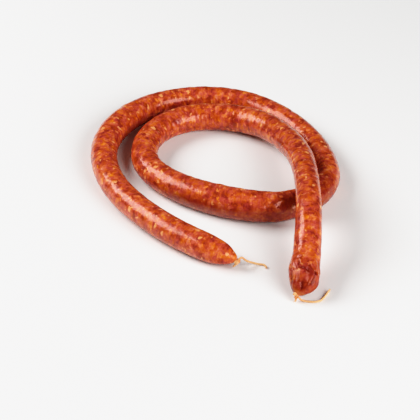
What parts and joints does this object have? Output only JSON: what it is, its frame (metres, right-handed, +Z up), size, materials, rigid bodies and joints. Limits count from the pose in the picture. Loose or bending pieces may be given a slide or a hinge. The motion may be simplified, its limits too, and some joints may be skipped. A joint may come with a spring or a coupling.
{
  "type": "coiled sausage",
  "caption": "Long thin raw sausage of coarse red meat in an uncut casing, laid as a spiral whose inner end crosses over the outer turn, its ends tied off with string.",
  "frame": {"origin": "on the resting plane, under the middle of the sausage's box without its loose string tails", "axes": "+Z up from the resting plane; +Y along the coil's length, from the tied ends towards its far turn; +X to the right of a viewer who faces +Y"},
  "size_m": [0.2218, 0.3058, 0.0479],
  "materials": {
    "casing": "moist clear natural casing over coarse red meat with pale bits of fat, glossy",
    "string": "twisted cotton string stained orange by the filling, matt"
  },
  "bodies": {
    "root": {"sausage": "casing", "outer_end_tie": "string", "inner_end_tie": "string", "outer_end_tail": "string", "inner_end_tail": "string"}
  },
  "joints": []
}
